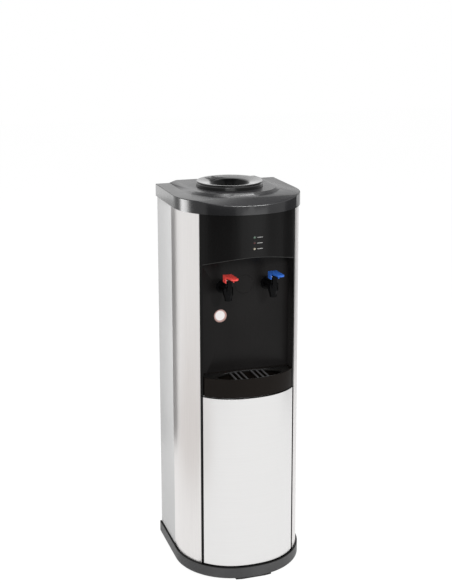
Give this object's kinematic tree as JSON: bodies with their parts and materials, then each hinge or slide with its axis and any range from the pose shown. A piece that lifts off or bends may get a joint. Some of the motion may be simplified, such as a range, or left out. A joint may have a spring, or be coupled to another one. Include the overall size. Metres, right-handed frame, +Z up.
{
  "type": "water dispenser",
  "caption": "Floor-standing bottle-top water dispenser with bowed steel cabinet, black niche with hot and cold lever taps, drip tray, storage door and bottle collar.",
  "frame": {"origin": "on the floor, under the centre of the overall outline, tap levers included", "axes": "+Z up, front with the taps towards -Y, +X to the right seen from the front"},
  "size_m": [0.313, 0.3286, 0.947],
  "materials": {
    "gloss_black": "gloss moulded",
    "base_grey": "satin moulded",
    "dark_rubber": "matt",
    "panel_steel": "fine brushed",
    "grey_sheet": "galvanised grey",
    "bright_steel": "plain",
    "tank_steel": "drawn",
    "liner_black": "fine grain",
    "tap_black": "gloss moulded",
    "hot_red": "gloss moulded",
    "cold_blue": "gloss moulded",
    "cold_green": "gloss moulded",
    "white_acetal": "natural",
    "clear_silicone": "milky",
    "white_foam": "expanded bead foam",
    "cooler_aluminium": "extruded",
    "lens_green": "clear moulded",
    "lens_red": "clear moulded",
    "lens_amber": "clear moulded",
    "board_green": "laminate"
  },
  "bodies": {
    "cabinet": {"top_cover": "gloss_black", "front_fascia": "gloss_black", "dispense_niche": "gloss_black", "base_plinth": "base_grey", "front_skid": "dark_rubber", "rear_feet": "dark_rubber", "tap_washers": "dark_rubber", "side_panel_left": "panel_steel", "side_panel_right": "panel_steel", "back_panel": "grey_sheet", "middle_deck": "grey_sheet", "tank_shelf": "grey_sheet", "hot_stand": "grey_sheet", "power_supply": "grey_sheet", "back_screws": "bright_steel", "hinge_pins": "bright_steel", "pivot_pins": "bright_steel", "hot_tap_spring": "bright_steel", "cold_tap_spring": "bright_steel", "band_heater": "bright_steel", "cold_tank": "tank_steel", "hot_tank": "tank_steel", "storage_liner": "liner_black", "latch_body": "liner_black", "fan_frame": "liner_black", "thermostats": "liner_black", "hot_tap_body": "tap_black", "cold_tap_body": "tap_black", "drain_fitting": "tap_black", "switch_frames": "tap_black", "power_inlet": "tap_black", "tap_nuts": "white_acetal", "cooling_module": "white_acetal", "tank_seal": "clear_silicone", "hot_hose": "clear_silicone", "cold_hose": "clear_silicone", "feed_hose": "clear_silicone", "drain_hose": "clear_silicone", "cold_jacket": "white_foam", "hot_jacket": "white_foam", "cold_block": "cooler_aluminium", "heat_sink": "cooler_aluminium", "lens_heating": "lens_green", "lens_cooling": "lens_red", "lens_power": "lens_amber", "led_board": "board_green"},
    "hot_lever": {"hot_tap_lever": "hot_red"},
    "hot_stem": {"hot_tap_stem": "white_acetal"},
    "cold_lever": {"cold_tap_lever": "cold_blue"},
    "cold_stem": {"cold_tap_stem": "white_acetal"},
    "door": {"door_panel": "panel_steel", "door_liner": "liner_black"},
    "latch": {"latch_plunger": "white_acetal"},
    "tray": {"drip_tray": "gloss_black"},
    "grille": {"drip_grille": "gloss_black"},
    "collar": {"bottle_collar": "gloss_black"},
    "fan": {"fan_rotor": "liner_black"},
    "hot_rocker": {"hot_switch": "hot_red"},
    "cold_rocker": {"cold_switch": "cold_green"},
    "cap": {"drain_cap": "tap_black"}
  },
  "joints": [
    {"name": "hot_lever_press", "type": "hinge", "parent": "cabinet", "child": "hot_lever", "pos_m": [-0.0553, -0.11625, 0.744], "axis": [1, 0, 0], "range_deg": [0, 20], "stiffness_Nm_per_rad": 0.2, "springref_deg": -8.59},
    {"name": "hot_stem_lift", "type": "slide", "parent": "cabinet", "child": "hot_stem", "axis": [0, 0, 1], "range_m": [0, 0.0031], "deforming": ["hot_tap_spring"]},
    {"name": "cold_lever_press", "type": "hinge", "parent": "cabinet", "child": "cold_lever", "pos_m": [0.0553, -0.11625, 0.744], "axis": [1, 0, 0], "range_deg": [0, 20], "stiffness_Nm_per_rad": 0.2, "springref_deg": -8.59},
    {"name": "cold_stem_lift", "type": "slide", "parent": "cabinet", "child": "cold_stem", "axis": [0, 0, 1], "range_m": [0, 0.0031], "deforming": ["cold_tap_spring"]},
    {"name": "door_swing", "type": "hinge", "parent": "cabinet", "child": "door", "pos_m": [0.1065, -0.08827, 0.2463], "axis": [0, 0, 1], "range_deg": [0, 100]},
    {"name": "latch_push", "type": "slide", "parent": "cabinet", "child": "latch", "axis": [0, -1, 0], "range_m": [0, 0.008]},
    {"name": "tray_pull", "type": "slide", "parent": "cabinet", "child": "tray", "axis": [0, -1, 0], "range_m": [0, 0.07]},
    {"name": "grille_lift", "type": "slide", "parent": "tray", "child": "grille", "axis": [0, 0, 1], "range_m": [0, 0.06]},
    {"name": "collar_lift", "type": "slide", "parent": "cabinet", "child": "collar", "axis": [0, 0, 1], "range_m": [0, 0.08]},
    {"name": "fan_spin", "type": "hinge", "parent": "cabinet", "child": "fan", "pos_m": [0, 0.05075, 0.6665], "axis": [0, 0, 1], "continuous": true},
    {"name": "cold_rocker_tip", "type": "hinge", "parent": "cabinet", "child": "cold_rocker", "pos_m": [0.058, 0.13925, 0.5116], "axis": [1, 0, 0], "range_deg": [-16, 0]},
    {"name": "hot_rocker_tip", "type": "hinge", "parent": "cabinet", "child": "hot_rocker", "pos_m": [0.034, 0.13925, 0.5116], "axis": [1, 0, 0], "range_deg": [-16, 0]},
    {"name": "drain_cap_pull", "type": "slide", "parent": "cabinet", "child": "cap", "axis": [0, 1, 0], "range_m": [0, 0.02]}
  ],
  "couplings": [
    {"joint": "hot_stem_lift", "follows": "hot_lever_press", "m_per_rad": 0.00882},
    {"joint": "cold_stem_lift", "follows": "cold_lever_press", "m_per_rad": 0.00882},
    {"joint": "latch_push", "follows": "door_swing", "m_per_rad": 0.0045}
  ]
}
